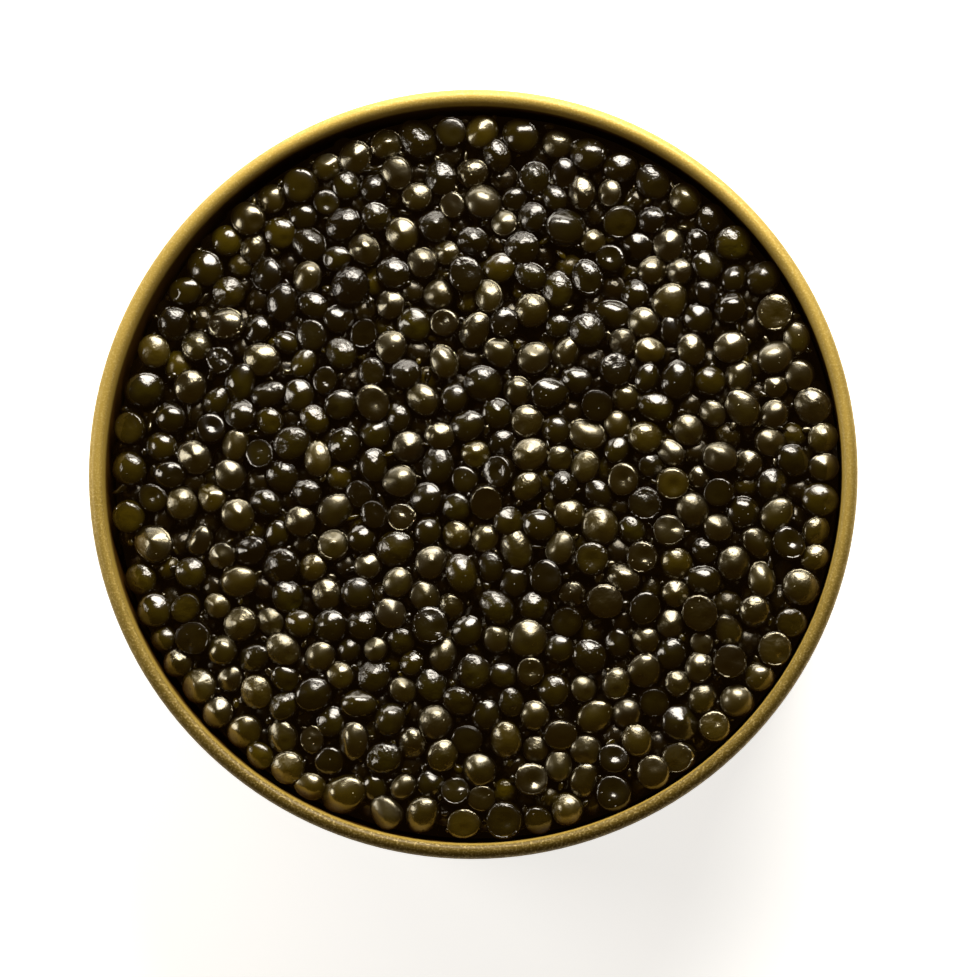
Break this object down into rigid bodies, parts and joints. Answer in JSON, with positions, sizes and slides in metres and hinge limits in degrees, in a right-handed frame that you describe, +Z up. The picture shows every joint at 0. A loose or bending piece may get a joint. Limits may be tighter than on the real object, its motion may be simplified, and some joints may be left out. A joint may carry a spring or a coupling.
{
  "type": "tin of caviar",
  "caption": "Open round gold-lacquered tin with a rolled rim, filled to just under the rim with large, glossy, near-black sturgeon roe.",
  "frame": {"origin": "middle of the tin's underside, in the plane of its foot ring", "axes": "+Z up out of the open mouth; +X to the right and +Y to the top of the picture"},
  "size_m": [0.08, 0.08, 0.026],
  "materials": {
    "tin": "satin gold lacquer on tinplate",
    "roe": "wet, glossy, near-black olive brown"
  },
  "bodies": {
    "root": {"tin": "tin", "roe": "roe"}
  },
  "joints": []
}
